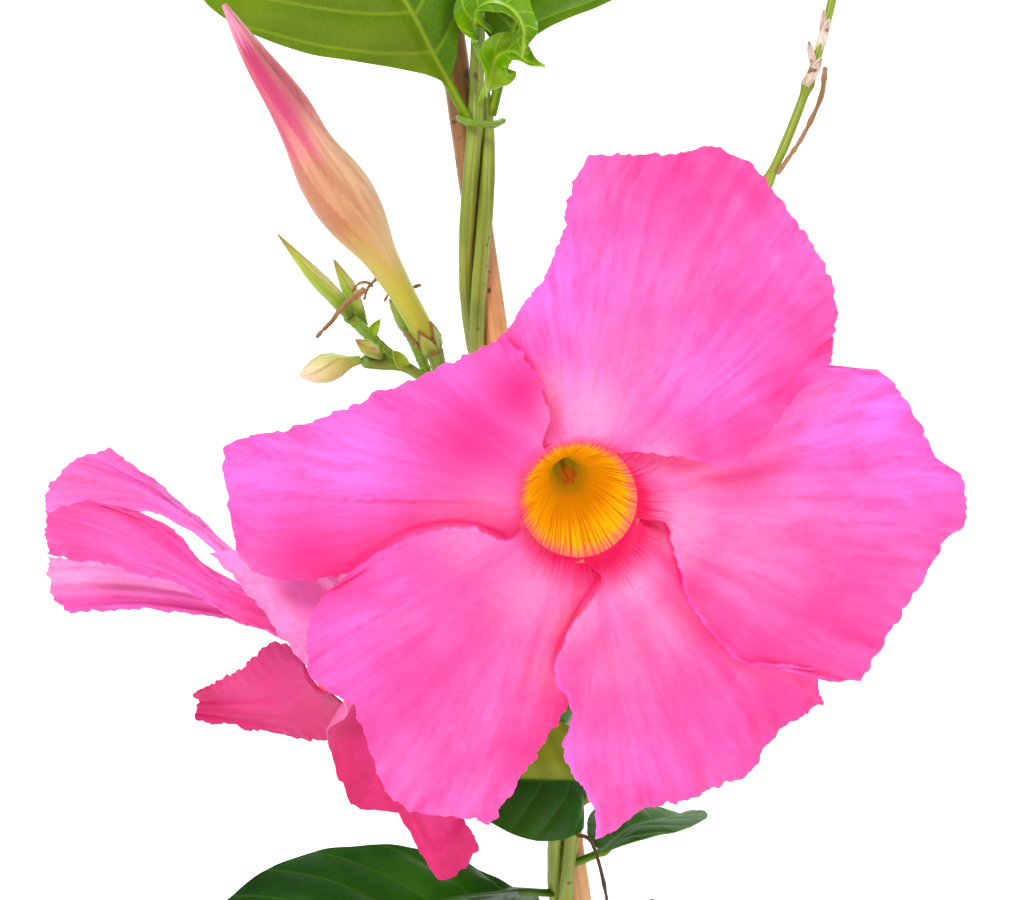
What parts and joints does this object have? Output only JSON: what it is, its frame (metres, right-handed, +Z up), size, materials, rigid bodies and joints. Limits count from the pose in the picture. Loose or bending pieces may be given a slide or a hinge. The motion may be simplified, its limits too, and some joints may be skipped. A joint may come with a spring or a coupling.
{
  "type": "potted mandevilla",
  "caption": "Potted climbing plant: stems twining up a cane, oval leaves, broad pinwheel flowers with a deep throat, and furled buds.",
  "frame": {"origin": "centre of the pot's underside, on the surface the pot stands on", "axes": "+Z up; -Y is the side the open flower faces; +X is to the right of someone looking at that flower"},
  "size_m": [0.1633, 0.1472, 0.4007],
  "materials": {
    "clay_plastic": "matt moulded",
    "potting_soil": "loose, matt",
    "cane_wood": "satin, speckled",
    "stem_green": "satin",
    "leaf_green": "glossy, veined",
    "young_leaf": "glossy",
    "petal_pink": "soft satin, veined",
    "petal_faded": "soft satin, veined",
    "throat_yellow": "soft satin, streaked",
    "anther_tan": "matt",
    "calyx_green": "satin",
    "bud_blush": "soft satin",
    "dry_brown": "matt, papery"
  },
  "bodies": {
    "root": {"pot": "clay_plastic", "soil": "potting_soil", "cane": "cane_wood", "stem_a": "stem_green", "stem_b": "stem_green", "climbing_shoot": "stem_green", "flower_cluster_1": "stem_green", "flower_cluster_2": "stem_green", "flower_1_calyx": "calyx_green", "flower_1_corolla_tube": "throat_yellow", "flower_1_anther_cone": "anther_tan", "flower_1_petal_top": "petal_pink", "flower_1_petal_right": "petal_pink", "flower_1_petal_lower_right": "petal_pink", "flower_1_petal_lower_left": "petal_pink", "flower_1_petal_left": "petal_pink", "flower_2_calyx": "calyx_green", "flower_2_corolla_tube": "throat_yellow", "flower_2_anther_cone": "anther_tan", "flower_2_petal_upper": "petal_faded", "flower_2_petal_near": "petal_faded", "flower_2_petal_front": "petal_faded", "flower_2_petal_drooping": "petal_faded", "flower_2_petal_far": "petal_faded", "large_bud": "bud_blush", "large_bud_calyx": "calyx_green", "small_bud_pointed": "calyx_green", "small_bud_green": "calyx_green", "small_bud_round": "calyx_green", "small_bud_lower": "calyx_green", "spent_calyx": "calyx_green", "leaf_top_left": "leaf_green", "leaf_top_right": "leaf_green", "leaf_middle_right": "leaf_green", "leaf_middle_left": "leaf_green", "leaf_behind_petals": "leaf_green", "leaf_lower_right": "leaf_green", "leaf_lower_left": "leaf_green", "leaf_pot_back_right": "leaf_green", "leaf_pot_back_left": "leaf_green", "leaf_pot_front_right": "leaf_green", "leaf_pot_front_left": "leaf_green", "young_leaf_front": "young_leaf", "young_leaf_right": "young_leaf", "young_leaf_tip": "young_leaf", "vine_leaf_left": "young_leaf", "vine_leaf_right": "young_leaf", "dry_pedicel": "dry_brown", "withered_style": "dry_brown", "dry_leaf_stalk": "dry_brown"}
  },
  "joints": []
}
